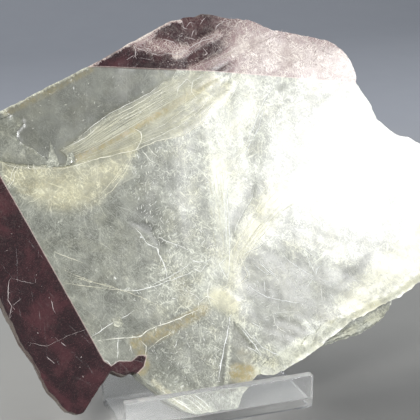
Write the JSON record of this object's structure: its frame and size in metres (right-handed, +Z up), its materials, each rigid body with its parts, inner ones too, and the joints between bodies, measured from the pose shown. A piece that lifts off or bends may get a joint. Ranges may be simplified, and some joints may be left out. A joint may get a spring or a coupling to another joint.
{
  "type": "mica crystal on a display easel",
  "caption": "Flat bicoloured mica book with dark purple growth zones, standing on a bent clear acrylic easel.",
  "frame": {"origin": "middle of the whole object's footprint, on the table", "axes": "+X along the easel's lip, +Y from the lip to the back of the easel, +Z up"},
  "size_m": [0.1462, 0.0638, 0.0935],
  "materials": {
    "mica": "pearly cleavage, silvery grey-green and translucent, with dark purple zones along two growth edges",
    "clear_acrylic": "clear, flame-polished edges"
  },
  "bodies": {
    "root": {"mica_crystal": "mica", "display_easel": "clear_acrylic"}
  },
  "joints": []
}
